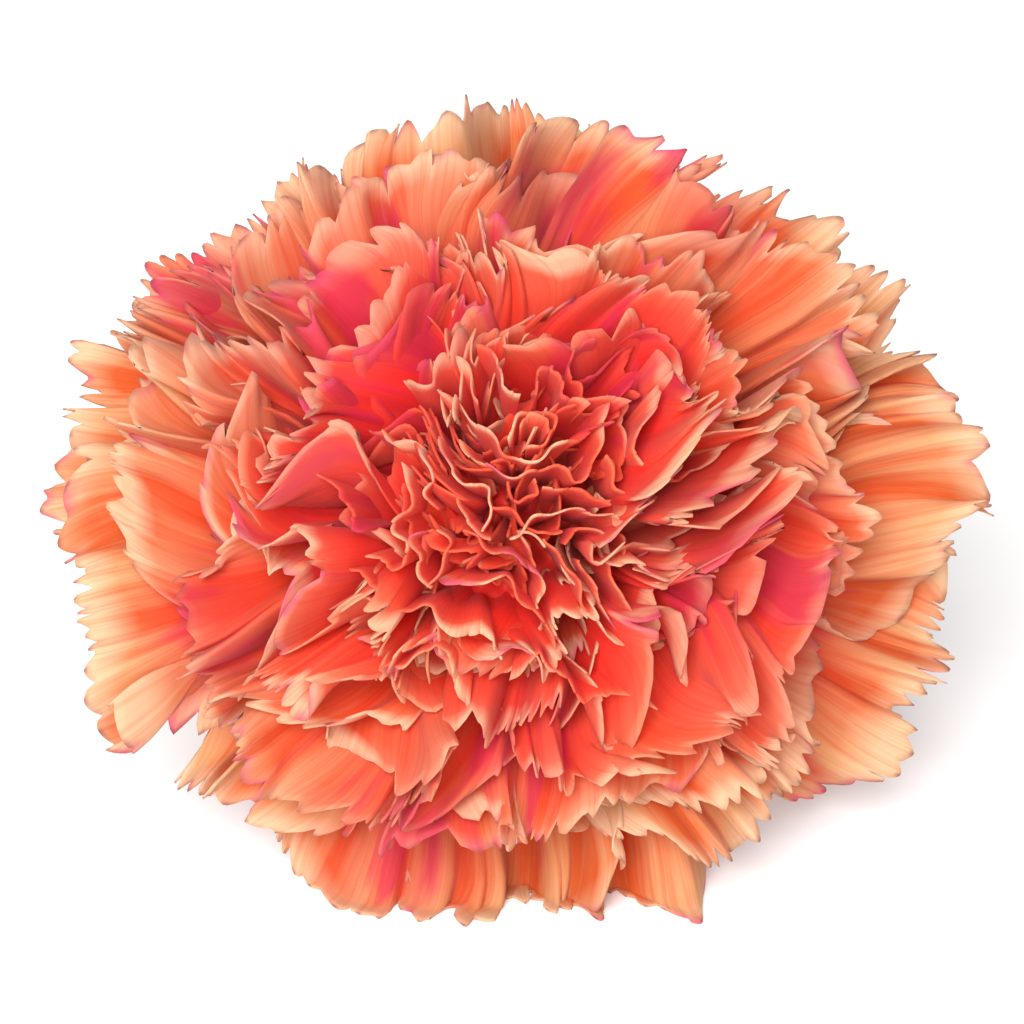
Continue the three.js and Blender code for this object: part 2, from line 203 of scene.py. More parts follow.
# azimuth in degrees and reach against the rule's
GUARD_PETALS = [
    (-84, 1.17), (-103, 1.10), (166, 1.08), (-17, 1.05), (92, 1.06), (36, 1.05), (137, 1.03),
    (7, 1.10), (-54, 0.97), (-138, 0.97), (-168, 1.06), (156, 1.07), (112, 1.05), (74, 1.11),
]
WHORLS = {"lower_guard_petals": (0, 7), "upper_guard_petals": (7, 14), "outer_petals": (14, 26),
          "middle_petals": (26, 38), "inner_petals": (38, 46), "short_petals": (50, 60)}
# the late petals from here on stay short, and so do some that are tucked in between the others
SHORT_PETALS = 50
TUCKED_PETALS = [31.5 + place for place in range(12)]
SHORT_LENGTH = 0.86
TUCKED_LENGTH = 0.8
SHORT_PALENESS = 0.94
GUARD_GRID = (28, 221)
INNER_GRID = (25, 161)
ROW_EASE = 0.85
CROWD_WAVES = 9
CROWD_COUNTS = (8, 15)
CROWD_STRENGTH = 0.9
CROWD_FULL = 24.0
CROWD_MOST = 1.25
CROWD_GROWTH = 1.2
CROWD_FACING = 0.6
BEND_SOFTNESS = 0.3
TABLE_NEAR = 0.02
# colours from the root to the margin: of the folds' bottoms, partly the petal's own deep orange and partly
# painted shade, of their tops, partly its own pale streaks and partly painted light, and of the heart's
# petals
VALLEY_TONE_AND_SHADE_COLOURS = [(0.0, (222, 50, 26)), (0.4, (226, 72, 32)), (0.7, (224, 92, 40)),
                  (0.9, (222, 108, 50)), (1.0, (224, 140, 86))]
CREST_TONE_AND_LIGHT_COLOURS = [(0.0, (226, 64, 36)), (0.4, (228, 106, 60)), (0.7, (229, 148, 98)),
                 (0.9, (228, 180, 130)), (1.0, (228, 204, 170))]
HEART_COLOURS = [(0.0, (254, 54, 42)), (0.5, (252, 48, 38)), (0.8, (245, 56, 42)),
                 (0.91, (238, 84, 58)), (1.0, (234, 130, 92))]
MARGIN_COLOUR = (240, 206, 170)
VEIN_COLOUR = (244, 190, 160)
FLUSH_COLOUR = (228, 42, 58)
FLAKE_COLOUR = (216, 38, 84)
EDGE_COLOUR = (220, 70, 124)
TIP_COLOUR = (156, 74, 86)
UNDER_COLOUR = (255, 190, 150)
PETAL_LIGHT_THROUGH = 0.5
# places of the bloom that are flushed with magenta, in millimetres right and up from its middle, with
# a radius
MAGENTA_PLACES = [(-12, 15, 11), (-25, 19, 6), (17, 25, 5), (19, -8, 9), (4, 26, 5), (-24, -9, 5),
                  (-9, -27, 6), (2, -18, 5), (-14, 2, 6), (9, 12, 6)]


def draw(petal, trait):
    """A repeatable draw from 0 to 1 for one trait of one petal."""
    value = math.sin(petal * 12.9898 + trait * 78.233 + 4.1) * 43758.5453
    return value - math.floor(value)


def lerp(start, end, share):
    """The value at a share of the way from start to end."""
    return start + (end - start) * share


def between(trait, share):
    """A trait of a petal that lies this share of the way from the rim to the heart."""
    return lerp(RIM[trait], HEART[trait], share)


def stray(petal, trait, most):
    """How far one petal strays from the rule, up to half of most to either side."""
    return most * (draw(petal, trait) - 0.5)


def crowd_waves():
    """Waves through the whole bloom: the direction and count of each, its push and its phase."""
    waves = []
    for wave in range(CROWD_WAVES):
        height = 2 * draw(wave, 31) - 1
        turn = 2 * math.pi * draw(wave, 32)
        flat = math.sqrt(1 - height * height)
        along = np.array([flat * math.cos(turn), flat * math.sin(turn), height])
        aside = np.array([draw(wave, trait) - 0.5 for trait in (33, 34, 35)])
        push = np.cross(along, aside)
        count = lerp(*CROWD_COUNTS, draw(wave, 36))
        push *= CROWD_STRENGTH / count / np.linalg.norm(push)
        waves.append((along * count, push, 2 * math.pi * draw(wave, 37)))
    return waves


def crowd(points, waves):
    """Presses neighbouring petals into one another's folds, more the further they are from the throat."""
    from_throat = points - np.array([0, 0, THROAT])
    distance = np.linalg.norm(from_throat, axis=-1, keepdims=True)
    direction = from_throat / np.maximum(distance, 1e-6)
    facing = 0.5 + 0.5 * np.clip(direction[..., 2:3] / CROWD_FACING, 0, 1)
    strength = np.minimum(distance / CROWD_FULL, CROWD_MOST) ** CROWD_GROWTH * facing
    for along, push, phase in waves:
        direction = direction + strength * np.sin(direction @ along + phase)[..., None] * push
    direction /= np.linalg.norm(direction, axis=-1, keepdims=True)
    return np.array([0, 0, THROAT]) + direction * distance


def summed(slope, step):
    """The line that a slope adds up to along its last axis, from 0."""
    line = np.zeros_like(slope)
    line[..., 1:] = np.cumsum(slope[..., 1:] + slope[..., :-1], axis=-1) * step / 2
    return line


def petal_profile(age, length, tip_elevation):
    """The curve that the blade follows outwards: distance along it, radius, height and elevation."""
    root_elevation = math.radians(between("root_elevation", math.sqrt(age)))
    s = np.linspace(0, length * PROFILE_OVERRUN, PROFILE_STEPS)
    elevation = tip_elevation + (root_elevation - tip_elevation) * np.exp(-s / between("turn_length", age))
    elevation -= lerp(*MARGIN_FLARE, age) * np.minimum(s / length, 1) ** 7
    radius = between("root_radius", age) + summed(np.cos(elevation), s[1])
    height = THROAT - ROOT_SUNK + ROOT_RISE * age + summed(np.sin(elevation), s[1])
    return s, radius, height, elevation


def margin_reach(petal, age, along, across):
    """How far out each point lies, with lobes, teeth and splits, and how near it is to a tooth's tip."""
    phase = 2 * math.pi * draw(petal, 6)
    corner = 0.21 + 0.12 * draw(petal, 5)
    lobes = 0.03 * np.sin(3.1 * across + phase) + 0.026 * np.sin(8.3 * across + phase * 1.7)
    lobe = np.sin(lerp(*LOBES, age) * across + 2.3 * phase + 0.6 * np.sin(4 * across))
    lobes += LOBE_DEPTH * (np.abs(lobe) ** 0.5 - 1)
    count = lerp(*TEETH, age) + MORE_TEETH * draw(petal, 7)
    unevenly = 0.7 * np.sin(5.1 * across + phase), 0.45 * np.sin(9.3 * across + 2 * phase)
    place = count * (across + 1) / 2 + unevenly[0] + unevenly[1]
    tooth = np.floor(place)
    notch = np.abs(place - tooth - TOOTH_PEAK) / (1 - TOOTH_PEAK)
    depth = np.sin(tooth * 12.9898 + phase * 7) * 43758.5453
    depth = TOOTH_DEPTH + MORE_TOOTH_DEPTH * (depth - np.floor(depth)) ** 1.5
    # stretches of sharp teeth take turns with stretches of rounded scallops
    scallop = 0.8 + 1.5 * (0.5 + 0.5 * np.sin(6.7 * across + 3 * phase)) ** 1.5
    for trait in (14, 15, 16):
        split = (across - 1.6 * draw(petal, trait) + 0.8) / SPLIT_WIDTH
        depth = depth + SPLIT_DEPTH * draw(petal, trait + 10) ** 2 * np.exp(-(split ** 2))
    outline = 0.985 - corner * np.abs(across) ** 3.2 + lobes * along
    return along * outline - depth * notch ** scallop * along ** 12, 1 - notch


def ruffle(petal, age, along, across):
    """A line across the petal whose direction swings from side to side: its shift aside and outwards."""
    count = between("ruffles", age) + STRAY["ruffles"] * draw(petal, 8)
    shift, bend, fine = [2 * math.pi * draw(petal, trait) for trait in (9, 10, 11)]
    phase = math.pi * count * across + shift + 0.8 * np.sin(1.9 * across + bend)
    swing = between("swing", age) * (CALM if petal == CALM_PETAL else 1)
    angle = swing * along ** 1.4 * np.sin(phase)
    angle += FINE_SWING * along ** 4 * np.sin(FINE_RUFFLES * phase + fine)
    lines = [summed(part, across[0, 1] - across[0, 0]) for part in (np.cos(angle), np.sin(angle))]
    return [line - line.mean(axis=1, keepdims=True) for line in lines]


def pleats(petal, age, along, across):
    """Folds that fan out from the root, and the frill of the margin, in millimetres out of the blade."""
    turns = [2 * math.pi * draw(petal, trait) for trait in (18, 19, 20)]
    bent = across + 0.07 * np.sin(4.3 * across + turns[2]) + 0.02 * np.sin(9 * along + turns[1])
    broad = np.arcsin(0.96 * np.sin(math.pi * lerp(*PLEATS, age) * bent + turns[0])) / 1.3
    narrow = np.sin(math.pi * lerp(*CREASES, age) * bent + turns[1] + 0.8 * broad)
    frill = np.sin(math.pi * lerp(*FRILLS, age) * bent + turns[2] + 1.5 * broad)
    rise = lerp(*PLEAT_HEIGHT, age) * along ** 1.3 * broad + CREASE_HEIGHT * along ** 1.5 * narrow
    rise += lerp(*FRILL_HEIGHT, age) * along ** 7 * frill
    return rise, broad + 0.4 * narrow


def blade_grid(rows, columns):
    """How far along, 0 to 1, and how far across, -1 to 1, each point of a blade lies."""
    places = np.linspace(0, 1, rows) ** ROW_EASE, np.linspace(-1, 1, columns)
    return np.meshgrid(*places, indexing="ij")


def tissue_of(petal, age, points, along, across, ridge, tooth):
    """What the colour of a petal's tissue follows, at each of its points."""
    return {"along": along, "across": across, "age": 0 * along + age, "tint": 0 * along + draw(petal, 13),
            "flush": flushed(points), "ridge": ridge, "tooth": tooth}


def petal_surface(petal, waves):
    """The middle surface of one petal, as a grid of points, with what its tissue needs."""
    age = petal / (PETAL_PLACES - 1)
    if petal < len(GUARD_PETALS):
        azimuth, reach = GUARD_PETALS[petal]
        reach *= 1 + stray(petal, 3, STRAY["guard_reach"])
    else:
        azimuth = GOLDEN_ANGLE * petal + stray(petal, 1, STRAY["azimuth"])
        reach = 1 + stray(petal, 3, STRAY["inner_reach"])
    azimuth = math.radians(azimuth)
    length = between("reach", age ** 1.1) * reach * (1 + OVAL * math.cos(2 * azimuth))
    if petal >= SHORT_PETALS:
        length *= SHORT_LENGTH
    if petal in TUCKED_PETALS:
        length *= TUCKED_LENGTH
    tip_elevation = between("tip_elevation", age ** 1.15) + stray(petal, 2, STRAY["tip_elevation"])
    s, radius, height, elevation = petal_profile(age, length, math.radians(tip_elevation))
    along, across = blade_grid(*(GUARD_GRID if petal < len(GUARD_PETALS) else INNER_GRID))
    place, tooth = margin_reach(petal, age, along, across)
    place = place * length
    r, z, e = [np.interp(place, s, line) for line in (radius, height, elevation)]
    tip_half_width = between("half_width", age) * (1 + stray(petal, 4, STRAY["width"]))
    half_width = lerp(ROOT_HALF_WIDTH, tip_half_width, along ** 1.05)
    aside, out = [line * half_width for line in ruffle(petal, age, along, across)]
    rise, ridge = pleats(petal, age, along, across)
    out = out + rise
    widest = math.radians(between("widest", age))
    turn = azimuth + aside / np.maximum(np.maximum(r, ROOT_HALF_WIDTH), np.abs(aside) / widest)
    r = r - out * np.sin(e)
    z = z + (out + aside * math.sin(SHINGLE)) * np.cos(e)
    points = laid_down(crowd(np.stack([r * np.cos(turn), r * np.sin(turn), z], -1), waves))
    along = along * (SHORT_PALENESS if petal >= SHORT_PETALS else 1)
    return points, tissue_of(petal, age, points, along, across, ridge, tooth)


def bent_on_table(points):
    """Petals that would reach below the table bend and lie along it."""
    rest, softness = PETAL_HALF_THICKNESS / 1000, BEND_SOFTNESS / 1000
    low = points[..., 2] < TABLE_NEAR
    height = points[..., 2][low] - rest
    points[..., 2][low] = rest + softness * np.log1p(np.exp(height / softness))
    return points


def grid_faces(first, rows, columns):
    """Faces between the points of a grid, whose first point has this number."""
    corner = first + np.arange(rows - 1)[:, None] * columns + np.arange(columns - 1)[None, :]
    return np.stack([corner, corner + 1, corner + columns + 1, corner + columns], -1).reshape(-1, 4)


def skin_faces(rows, columns):
    """Faces of a thin closed body: its upper skin, its lower skin and the rim between them."""
    count = rows * columns
    index = np.arange(count).reshape(rows, columns)
    border = np.concatenate([index[0, :], index[1:, -1], index[-1, -2::-1], index[-2:0:-1, 0]])
    beyond = np.roll(border, -1)
    rim = np.stack([border, border + count, beyond + count, beyond], -1)
    return np.concatenate([grid_faces(0, rows, columns), grid_faces(count, rows, columns)[:, ::-1], rim])


def petal_body(points, along):
    """A thin closed body round a petal's middle surface: its points and faces."""
    normal = np.cross(np.gradient(points, axis=0), np.gradient(points, axis=1))
    normal /= np.maximum(np.linalg.norm(normal, axis=-1, keepdims=True), 1e-12)
    half_thickness = lerp(PETAL_HALF_THICKNESS, MARGIN_HALF_THICKNESS, along[..., None] ** 6) / 1000
    upper, lower = points + normal * half_thickness, points - normal * half_thickness
    return np.concatenate([upper.reshape(-1, 3), lower.reshape(-1, 3)]), skin_faces(*along.shape)


def srgb(red, green, blue):
    """A colour as seen, 0 to 255, as the shader's own numbers."""
    parts = [value / 255 for value in (red, green, blue)]
    return tuple(p / 12.92 if p <= 0.04045 else ((p + 0.055) / 1.055) ** 2.4 for p in parts) + (1.0,)


def colour_ramp(tree, factor, stops):
    """A colour that follows a factor through stops of place and red, green and blue."""
    stops = [(place, srgb(*colour)) for place, colour in stops]
    node = add_node(tree, "ShaderNodeValToRGB", in_0=factor)
    elements = node.color_ramp.elements
    elements[0].position, elements[0].color = stops[0]
    elements[1].position, elements[1].color = stops[-1]
    for position, colour in stops[1:-1]:
        elements.new(position).color = colour
    return node.outputs["Color"]


def mix_colour(tree, factor, first, second, blend="MIX"):
    node = add_node(tree, "ShaderNodeMix", data_type="RGBA", blend_type=blend)
    for socket, value in ((0, factor), (6, first), (7, second)):
        feed(tree, node.inputs[socket], value)
    return node.outputs[2]


def maths(tree, operation, *values):
    node = add_node(tree, "ShaderNodeMath", operation=operation)
    for socket, value in zip(node.inputs, values):
        feed(tree, socket, value)
    return node.outputs[0]


def remap(tree, value, low, high, start=0.0, end=1.0):
    node = add_node(tree, "ShaderNodeMapRange", in_0=value, in_1=low, in_2=high, in_3=start, in_4=end)
    return node.outputs[0]


def flushed(points):
    """How near each point lies to one of the magenta places, 0 to 1."""
    middle = laid_down([0, 0, THROAT])
    right = points[..., 0] - middle[0]
    up = (points - middle) @ np.array([0, math.sin(LEAN), math.cos(LEAN)])
    near = np.zeros(right.shape)
    for x, y, radius in MAGENTA_PLACES:
        far = np.hypot(right * 1000 - x, up * 1000 - y) / radius
        near = np.maximum(near, np.clip(1.5 - far, 0, 1))
    return near


def streaks(tree, across, along, tint, fineness, stretch, detail):
    """Noise drawn out from root to margin, different on each petal."""
    place = add_node(tree, "ShaderNodeCombineXYZ", in_0=maths(tree, "MULTIPLY", across, fineness),
                     in_1=maths(tree, "MULTIPLY", along, stretch), in_2=maths(tree, "MULTIPLY", tint, 53.0))
    noise = add_node(tree, "ShaderNodeTexNoise", in_Vector=place.outputs[0], in_Scale=1.0, in_Detail=detail)
    return noise.outputs["Fac"]


def stored(tree, *names):
    """The values that give_tissue stored on a piece's points, for its material."""
    nodes = [add_node(tree, "ShaderNodeAttribute", attribute_name=name) for name in names]
    return [node.outputs["Fac"] for node in nodes]


def petal_material():
    """Thin tissue that lets light through: its colour follows the folds, with painted shade in their
    bottoms and painted light on their tops as well as the petal's own streaks, the margin and the age.
    """
    material, tree, surface = new_material("petal_tissue")
    along, across, age, tint = stored(tree, "along", "across", "age", "tint")
    under, flush, ridge, tooth = stored(tree, "under", "flush", "ridge", "tooth")
    # by the folds' height, the bottoms get a darker colour as painted shade and the tops a paler one as
    # painted light, mixed with the petal's own veins
    valley_tone_and_shade = colour_ramp(tree, along, VALLEY_TONE_AND_SHADE_COLOURS)
    crest_tone_and_light = colour_ramp(tree, along, CREST_TONE_AND_LIGHT_COLOURS)
    heart = colour_ramp(tree, along, HEART_COLOURS)
    veins = streaks(tree, across, along, tint, 36.0, 3.0, 4.0)
    pale = remap(tree, maths(tree, "ADD", ridge, maths(tree, "MULTIPLY", veins, 3.2)), 0.6, 2.5)
    outer = mix_colour(tree, pale, valley_tone_and_shade, crest_tone_and_light)
    colour = mix_colour(tree, remap(tree, age, 0.14, 0.65), outer, heart)
    # the pale margin is now a hair line, now a broad patch
    breadth = streaks(tree, across, along, tint, 3.5, 0.6, 1.0)
    reach = maths(tree, "ADD", along, remap(tree, breadth, 0.48, 0.75, -0.01, 0.08))
    margin = remap(tree, reach, remap(tree, age, 0.05, 0.35, 0.89, 0.955), 1.0)
    margin = maths(tree, "MULTIPLY", margin, remap(tree, breadth, 0.36, 0.56, 0.35, 0.85))
    colour = mix_colour(tree, margin, colour, srgb(*MARGIN_COLOUR))
    # fine veins
    fine = remap(tree, streaks(tree, across, along, tint, 130.0, 1.6, 2.0), 0.46, 0.66, 0.0, 0.4)
    colour = mix_colour(tree, fine, colour, srgb(*VEIN_COLOUR), "MULTIPLY")
    # magenta flush, flakes and streaks, and magenta margins on some stretches
    colour = mix_colour(tree, maths(tree, "MULTIPLY", flush, 0.4), colour, srgb(*FLUSH_COLOUR))
    blotch = streaks(tree, across, along, tint, 8.0, 1.6, 3.0)
    amount = maths(tree, "ADD", blotch, maths(tree, "MULTIPLY", flush, 0.2))
    flake = maths(tree, "MULTIPLY", remap(tree, amount, 0.66, 0.78), remap(tree, along, 0.25, 0.65))
    colour = mix_colour(tree, maths(tree, "MULTIPLY", flake, 0.7), colour, srgb(*FLAKE_COLOUR))
    edge = maths(tree, "MULTIPLY", remap(tree, along, 0.96, 1.0), remap(tree, blotch, 0.55, 0.64))
    colour = mix_colour(tree, maths(tree, "MULTIPLY", edge, 0.7), colour, srgb(*EDGE_COLOUR))
    tip = maths(tree, "MULTIPLY", remap(tree, along, 0.985, 1.0), remap(tree, tooth, 0.7, 0.95))
    tip = maths(tree, "MULTIPLY", tip, remap(tree, age, 0.2, 0.5, 0.75, 0.0))
    colour = mix_colour(tree, tip, colour, srgb(*TIP_COLOUR))
    colour = mix_colour(tree, maths(tree, "MULTIPLY", under, 0.1), colour, srgb(*UNDER_COLOUR))
    roughness = remap(tree, veins, 0.2, 0.8, 0.62, 0.82)
    bump = add_node(tree, "ShaderNodeBump", in_Strength=0.3, in_Distance=0.0003, in_Height=veins)
    finish = {"Base Color": colour, "Roughness": roughness, "Normal": bump.outputs[0],
              "Specular IOR Level": 0.25, "Sheen Weight": 0.1, "Sheen Roughness": 0.5}
    for name, value in finish.items():
        feed(tree, surface.inputs[name], value)
    through = add_node(tree, "ShaderNodeBsdfTranslucent", in_Color=colour, in_Normal=bump.outputs[0])
    both = add_node(tree, "ShaderNodeMixShader", in_0=PETAL_LIGHT_THROUGH)
    tree.links.new(surface.outputs[0], both.inputs[1])
    tree.links.new(through.outputs[0], both.inputs[2])
    tree.links.new(both.outputs[0], tree.nodes["Material Output"].inputs["Surface"])
    return material


def give_tissue(piece, traits):
    """Stores on a piece's points what its tissue's colour follows."""
    for name, values in traits.items():
        attribute = piece.data.attributes.new(name, "FLOAT", "POINT")
        attribute.data.foreach_set("value", np.asarray(values, np.float32).reshape(-1))


def place_petals(name, surfaces):
    """Makes one piece of a whorl of petals and gives it the petals' tissue."""
    bodies, faces, traits, count = [], [], {}, 0
    for middle, tissue in surfaces:
        points, body_faces = petal_body(bent_on_table(middle), tissue["along"])
        points[:, 2] = np.maximum(points[:, 2], 0)
        bodies.append(points)
        faces.append(body_faces + count)
        count += len(points)
        for trait, grid in tissue.items():
            traits.setdefault(trait, []).append(np.tile(grid.reshape(-1), 2))
        traits.setdefault("under", []).append(np.repeat([0.0, 1.0], len(points) // 2))
    piece = place_mesh(name, np.concatenate(bodies), np.concatenate(faces))
    give_tissue(piece, {trait: np.concatenate(parts) for trait, parts in traits.items()})
    piece.data.materials.append(petal_tissue)
    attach(piece, "root")
    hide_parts("petals")


petal_tissue = petal_material()
waves = crowd_waves()
for whorl, (first_petal, past_last) in WHORLS.items():
    petals = [petal for petal in range(first_petal, past_last) if petal != HIDDEN_PETAL]
    place_petals(whorl, [petal_surface(petal, waves) for petal in petals])
place_petals("tucked_petals", [petal_surface(petal, waves) for petal in TUCKED_PETALS])


# Heart folds
# The last petals in the middle of the bloom have no room to spread, so each one stands up folded or
# rolled into a loop and shows little more than its pale margin, with its red inside below. They are
# the same thin tissue as the other petals, on claws that stand in the same bundle.
FOLD_ROOT_SHARE = 0.55
FOLD_ROOT_SPREAD = 0.28
FOLD_ROOT_HEIGHT = 31.0
FOLD_LEAN = 1.5
FOLD_WAVE = 0.36
FOLD_WAVE_SPACINGS = (0.62, 1.9)
FOLD_TURN = 0.36
FOLD_TURN_SPACING = 2.3
FOLD_DROOP = 1.2
FOLD_TEETH = 0.6
PETAL_MARGIN = 36.0
FOLD_PALENESS = 0.965
CENTRE_PALENESS = 0.93
TURNED_PALENESS = 0.07
FOLD_EASE = 13
HEART_TOP = 52.0
HEART_FALL = 0.018
FOLD_GRID = (24, 131)
FOLD_AGE = 0.9
# the line that each fold's margin follows as seen from the front, in millimetres right and up from the
# flower's axis
FOLDS = [
    [(0.2, 4.4), (0.0, 5.7), (0.9, 6.8), (2.3, 7.2), (3.7, 6.8), (4.0, 5.6), (3.0, 4.6), (1.4, 4.0)],
    [(-5.2, 8.2), (-3.4, 7.0), (-1.6, 5.2), (-0.4, 3.6), (1.4, 3.1), (3.2, 3.7), (4.9, 4.9)],
    [(-3.0, 4.2), (-2.0, 2.6), (0.4, 1.9), (2.4, 2.5), (3.8, 2.7), (5.6, 1.6), (6.9, 2.8), (7.1, 4.9),
     (6.4, 7.2)],
    [(-5.0, 4.6), (-4.4, 2.2), (-2.6, 1.0), (-1.7, 0.9), (-1.2, -0.6), (-1.8, -2.6)],
    [(0.0, -3.0), (2.4, -1.3), (5.2, -0.5), (7.6, -1.2), (9.2, -2.8), (9.5, -5.0)],
    [(3.0, -2.8), (4.3, -4.8), (5.6, -6.8), (6.4, -8.8), (7.8, -10.3), (9.4, -10.1), (10.4, -8.2),
     (11.2, -6.4)],
    [(5.9, -4.6), (6.5, -7.0), (7.6, -8.9), (8.6, -8.6), (8.6, -6.6), (7.8, -4.6)],
    [(-6.2, -2.1), (-7.1, -2.8), (-6.9, -5.2), (-6.2, -7.2), (-5.5, -5.6), (-4.7, -3.2), (-5.2, -2.2)],
    [(-10.6, -4.0), (-9.6, -5.3), (-8.2, -4.9), (-7.7, -3.6), (-8.9, -2.2), (-8.2, -0.8), (-7.2, 0.6),
     (-7.4, 2.4)],
    [(-11.2, 6.2), (-8.4, 4.4), (-6.2, 4.2), (-6.0, 2.4), (-6.6, 0.6), (-5.6, -0.8)],
    [(-3.6, -2.4), (-1.8, -3.7), (0.4, -3.9), (1.9, -5.1), (2.7, -6.8), (2.2, -8.4)],
    [(-4.6, -5.4), (-2.6, -6.2), (-0.2, -6.2), (1.4, -8.0), (3.0, -9.4), (3.5, -12.0)],
    [(-12.4, -7.6), (-9.6, -8.6), (-6.4, -8.4), (-3.8, -9.4), (-2.2, -8.8), (-1.2, -10.8), (-0.4, -12.6)],
]
OUTER_FOLDS = [
    [(-10.4, -13.6), (-7.8, -12.4), (-5.6, -11.2), (-4.0, -12.0), (-3.0, -14.2)],
    [(0.4, -12.6), (2.4, -11.8), (4.2, -13.6), (6.0, -15.6), (7.4, -14.8), (10.2, -14.4)],
    [(10.4, 8.0), (10.2, 5.8), (9.6, 4.0), (10.8, 2.4), (13.0, 2.0), (15.6, 2.8), (16.2, 4.4), (14.9, 6.6)],
    [(7.8, 3.6), (8.4, 1.0), (10.4, -1.2), (13.4, -0.6), (16.6, 0.8)],
    [(2.2, 8.8), (2.6, 10.6), (3.6, 11.3), (4.2, 10.2), (4.2, 8.6), (5.6, 7.0)],
    [(8.4, 7.4), (6.0, 8.4), (5.0, 10.2), (5.2, 12.4), (7.0, 13.6)],
    [(-2.6, 12.8), (-0.8, 11.6), (-0.4, 9.6), (1.0, 8.6)],
    [(-8.6, 9.8), (-6.4, 9.8), (-4.6, 10.8), (-2.8, 9.4), (-2.2, 7.6)],
    [(-14.2, -3.6), (-12.8, -5.2), (-11.4, -6.2), (-10.2, -7.0)],
    [(11.0, 11.6), (11.4, 9.4), (13.0, 8.4), (14.8, 9.6)],
    [(-15.2, 2.8), (-13.0, 1.0), (-12.6, -1.4), (-10.8, -2.0)],
]
# the innermost petals, deep red to the margin
CENTRE_FOLDS = [
    [(2.6, 0.6), (4.4, 1.1), (6.2, 0.6), (7.8, -0.6)],
    [(-0.2, 1.4), (0.8, 0.0), (2.2, 0.4), (1.8, 1.5)],
    [(-1.2, -0.4), (0.4, -1.2), (2.4, -2.6), (4.4, -2.4)],
    [(-3.8, 0.2), (-2.9, -1.6), (-1.2, -2.4)],
    [(4.6, -3.6), (5.4, -2.2), (6.8, -2.4), (7.4, -3.8)],
    [(0.9, 5.0), (1.6, 5.9), (2.8, 5.9), (2.9, 5.2)],
]
# each piece: its folds, the number from which their draws count, and how pale their margins are
FOLD_PIECES = {"heart_folds": (FOLDS, 0, FOLD_PALENESS),
               "outer_heart_folds": (OUTER_FOLDS, 20, FOLD_PALENESS),
               "centre_folds": (CENTRE_FOLDS, 40, CENTRE_PALENESS)}


def eased_line(corners, count):
    """A smooth line of evenly spaced points along a run of corners."""
    corners = np.array(corners, float)
    run = np.concatenate([[0], np.cumsum(np.linalg.norm(np.diff(corners, axis=0), axis=1))])
    places = np.linspace(0, run[-1], count)
    window = np.hanning(FOLD_EASE + 2)[1:-1]
    line = []
    for axis in (0, 1):
        part = np.interp(places, run, corners[:, axis])
        before = 2 * part[0] - part[FOLD_EASE // 2:0:-1]
        after = 2 * part[-1] - part[-2:-2 - FOLD_EASE // 2:-1]
        line.append(np.convolve(np.concatenate([before, part, after]), window / window.sum(), "valid"))
    return np.stack(line, -1)


def fold_surface(fold, corners, paleness):
    """The middle surface of one folded petal, as a grid of points, with what its tissue needs."""
    along, across = blade_grid(*FOLD_GRID)
    petal = PETAL_PLACES + fold
    margin = eased_line(corners, FOLD_GRID[1])
    run = np.linalg.norm(np.diff(margin, axis=0), axis=1).sum() * (across + 1) / 2
    across = across * min(run.max() / PETAL_MARGIN, 1)
    reach, tooth = margin_reach(petal, FOLD_AGE, along, across)
    reach = lerp(along, reach, FOLD_TEETH)
    ridge = pleats(petal, FOLD_AGE, along, across)[1]
    middle = margin.mean(axis=0)
    root = middle * FOLD_ROOT_SHARE + (margin - middle) * FOLD_ROOT_SPREAD
    tangent = np.gradient(margin, axis=0)
    side = np.stack([tangent[:, 1], -tangent[:, 0]], -1) / np.linalg.norm(tangent, axis=1)[:, None]
    short, long = FOLD_WAVE_SPACINGS
    wave = np.sin(run / short + 6 * draw(petal, 21)) * np.sin(run / long + 6 * draw(petal, 22))
    shift = (FOLD_WAVE * along ** 4 * wave)[..., None] * side
    # on some stretches the margin turns over and shows its pale side
    turns_over = np.clip(np.sin(run / FOLD_TURN_SPACING + 6 * draw(petal, 23)), 0, 1)
    turned = along ** 7 * turns_over
    lean = np.clip(reach, 0, None) ** FOLD_LEAN + FOLD_TURN * turned
    place = lerp(root, margin, lean[..., None]) + shift
    top = HEART_TOP - HEART_FALL * (margin ** 2).sum(axis=1)
    height = FOLD_ROOT_HEIGHT + (top - FOLD_ROOT_HEIGHT) * reach - FOLD_DROOP * turned ** 2
    points = laid_down(np.concatenate([place, height[..., None]], -1))
    paleness = paleness + TURNED_PALENESS * turns_over
    return points, tissue_of(petal, FOLD_AGE, points, along * paleness, across, ridge, tooth)


for piece, (folds, first, paleness) in FOLD_PIECES.items():
    surfaces = [fold_surface(fold, corners, paleness) for fold, corners in enumerate(folds, first)]
    place_petals(piece, surfaces)


# Petal claws
# Below the blades the petals narrow to pale claws, which stand side by side in a tight bundle that
# fills the calyx round the pistil and swells over its mouth, where the claws redden.
CLAW_FOOT = 3.2
CLAW_FOOT_RADIUS = 4.3
CLAW_HEAD = 41.0
CLAW_HEAD_RADIUS = 8.0
CLAW_HEAD_CRUMPLE = 1.1
CLAW_BORE = 2.9
CLAW_BORE_TOP = 24.0
CLAW_FLUTES = 31
CLAW_FLUTE_DEPTH = 0.22
CLAW_SWAY = 0.35
CLAW_GAP = 0.35
CLAW_STEPS = 150
CLAW_AROUND = 186
CLAW_COLOURS = [(0.0, (214, 222, 170)), (0.5, (236, 236, 205)), (0.72, (246, 190, 140)),
                (0.84, (230, 74, 50)), (1.0, (228, 54, 44))]
NO_RADIUS = 0.01
LIGHT_SPREAD = 0.001
